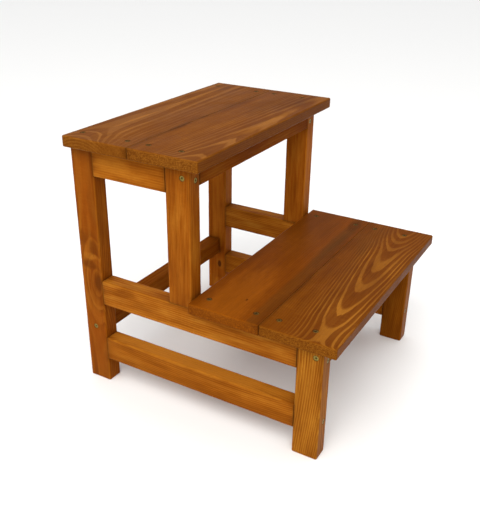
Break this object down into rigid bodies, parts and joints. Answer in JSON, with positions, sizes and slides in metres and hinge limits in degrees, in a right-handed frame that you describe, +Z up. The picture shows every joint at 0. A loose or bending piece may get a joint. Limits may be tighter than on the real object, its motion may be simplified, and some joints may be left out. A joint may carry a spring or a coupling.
{
  "type": "step stool",
  "caption": "Wooden step stool with a low front step and a high back step on a screwed frame of legs, rails and stretchers.",
  "frame": {"origin": "on the floor, in the middle of the stool's footprint", "axes": "+Z up; X along the treads from side to side; -Y is the front, with the low step; +Y is the back, with the high step"},
  "size_m": [0.446, 0.463, 0.438],
  "materials": {
    "stained_pine_tread": "golden-brown stained pine, satin",
    "stained_pine_frame": "orange-brown stained pine, satin",
    "plated_screw": "yellow zinc plate"
  },
  "bodies": {
    "root": {"upper_tread_back_board": "stained_pine_tread", "upper_tread_front_board": "stained_pine_tread", "lower_tread_back_board": "stained_pine_tread", "lower_tread_front_board": "stained_pine_tread", "rear_leg_left": "stained_pine_frame", "rear_leg_right": "stained_pine_frame", "upper_post_left": "stained_pine_frame", "upper_post_right": "stained_pine_frame", "front_leg_left": "stained_pine_frame", "front_leg_right": "stained_pine_frame", "upper_side_apron_left": "stained_pine_frame", "upper_side_apron_right": "stained_pine_frame", "middle_rail_left": "stained_pine_frame", "middle_rail_right": "stained_pine_frame", "lower_stretcher_left": "stained_pine_frame", "lower_stretcher_right": "stained_pine_frame", "upper_front_apron": "stained_pine_frame", "lower_front_rail": "stained_pine_frame", "rear_stretcher": "stained_pine_frame", "upper_tread_screws": "plated_screw", "lower_tread_screws": "plated_screw", "rear_leg_screws": "plated_screw", "post_screws": "plated_screw", "front_leg_screws": "plated_screw", "cross_rail_screws": "plated_screw", "post_foot_screws": "plated_screw"}
  },
  "joints": []
}
